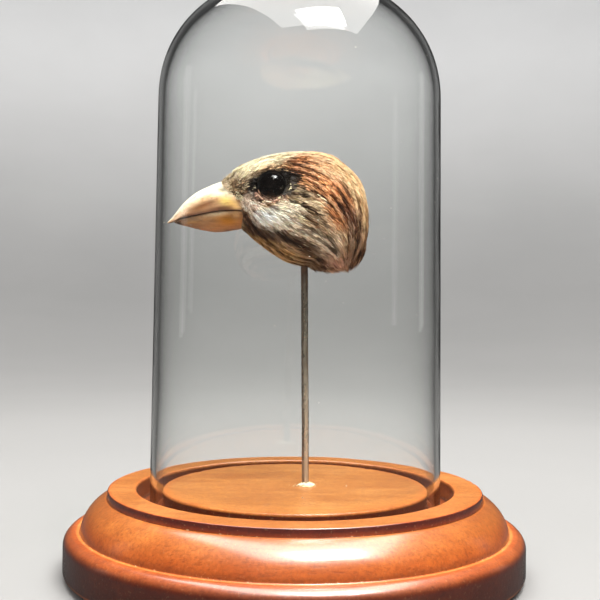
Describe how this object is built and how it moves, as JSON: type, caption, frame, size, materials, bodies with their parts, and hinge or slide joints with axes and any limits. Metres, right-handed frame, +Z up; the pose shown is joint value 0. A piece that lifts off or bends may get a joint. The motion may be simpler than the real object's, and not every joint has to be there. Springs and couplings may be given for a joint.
{
  "type": "bell jar dome",
  "caption": "Small round-topped clear glass bell jar standing in the groove of a turned wooden base, over a songbird head mounted on a thin steel rod.",
  "frame": {"origin": "centre of the underside of the base, on the dome's axis", "axes": "+Z up along the dome's axis, the specimen's bill points to -X, its left side faces -Y"},
  "size_m": [0.0782, 0.0782, 0.1013],
  "materials": {
    "turned_wood": "satin lacquer over cherry-toned timber",
    "felt": "pressed felt",
    "dome_glass": "clear blown glass",
    "steel": "dull drawn wire",
    "dried_glue": "crusty dried glue",
    "bone": "cleaned bone",
    "cotton": "packed cotton",
    "balsa": "raw balsa",
    "tow": "wound tow",
    "plumage": "fine loose feathers",
    "beak_horn": "smooth pale horn",
    "lower_beak_horn": "smooth brown horn",
    "eye_glass": "polished black glass",
    "clay": "air-dried modelling clay"
  },
  "bodies": {
    "base_body": {"base": "turned_wood", "base_felt": "felt", "rod": "steel", "rod_glue": "dried_glue", "skull": "bone", "skull_filler": "cotton", "neck_plug": "balsa", "neck_stuffing": "tow", "head_skin": "plumage", "upper_beak": "beak_horn", "lower_beak": "lower_beak_horn", "eye_left": "eye_glass", "eye_right": "eye_glass", "eye_wire_left": "steel", "eye_wire_right": "steel", "eye_clay_left": "clay", "eye_clay_right": "clay"},
    "dome_body": {"glass_dome": "dome_glass"}
  },
  "joints": [
    {"name": "dome_lift", "type": "slide", "parent": "base_body", "child": "dome_body", "axis": [0, 0, 1], "range_m": [0, 0.08]}
  ]
}
